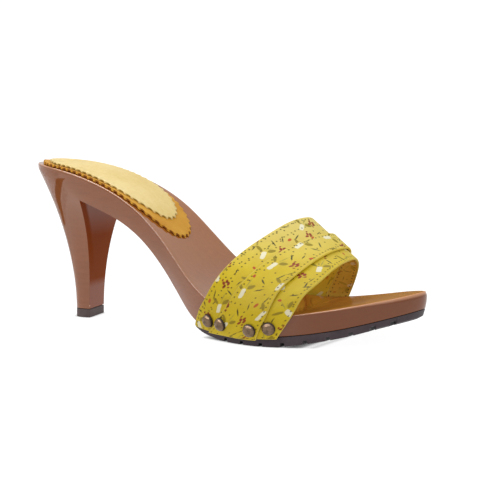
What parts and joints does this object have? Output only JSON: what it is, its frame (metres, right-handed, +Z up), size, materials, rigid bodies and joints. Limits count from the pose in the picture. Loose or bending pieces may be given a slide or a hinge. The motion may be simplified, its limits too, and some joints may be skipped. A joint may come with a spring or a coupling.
{
  "type": "high-heeled wooden mule",
  "caption": "Open-toed, backless mule: a carved wooden platform and tall heel in one block, a leather strap nailed over the forefoot, a pinked heel sock and a ridged rubber sole.",
  "frame": {"origin": "centre of the bounding box in plan, on the floor that the shoe stands on", "axes": "+X towards the toe, +Y towards the inner side of the foot, +Z up"},
  "size_m": [0.2134, 0.0868, 0.0808],
  "materials": {
    "lacquered_wood": "glossy brown lacquer",
    "sole_rubber": "matt, ridged",
    "tip_rubber": "matt",
    "amber_suede": "suede, pinked edge",
    "cream_leather": "smooth, padded, pinked edge",
    "printed_leather": "smooth, with a small floral print",
    "antique_brass": "dulled, domed"
  },
  "bodies": {
    "root": {"wooden_body": "lacquered_wood", "outsole": "sole_rubber", "heel_tip": "tip_rubber", "heel_sock_base": "amber_suede", "heel_sock_top": "cream_leather", "upper_strap": "printed_leather", "stud_outer_1": "antique_brass", "stud_outer_2": "antique_brass", "stud_outer_3": "antique_brass", "stud_outer_4": "antique_brass", "stud_inner_1": "antique_brass", "stud_inner_2": "antique_brass", "stud_inner_3": "antique_brass", "stud_inner_4": "antique_brass"}
  },
  "joints": []
}
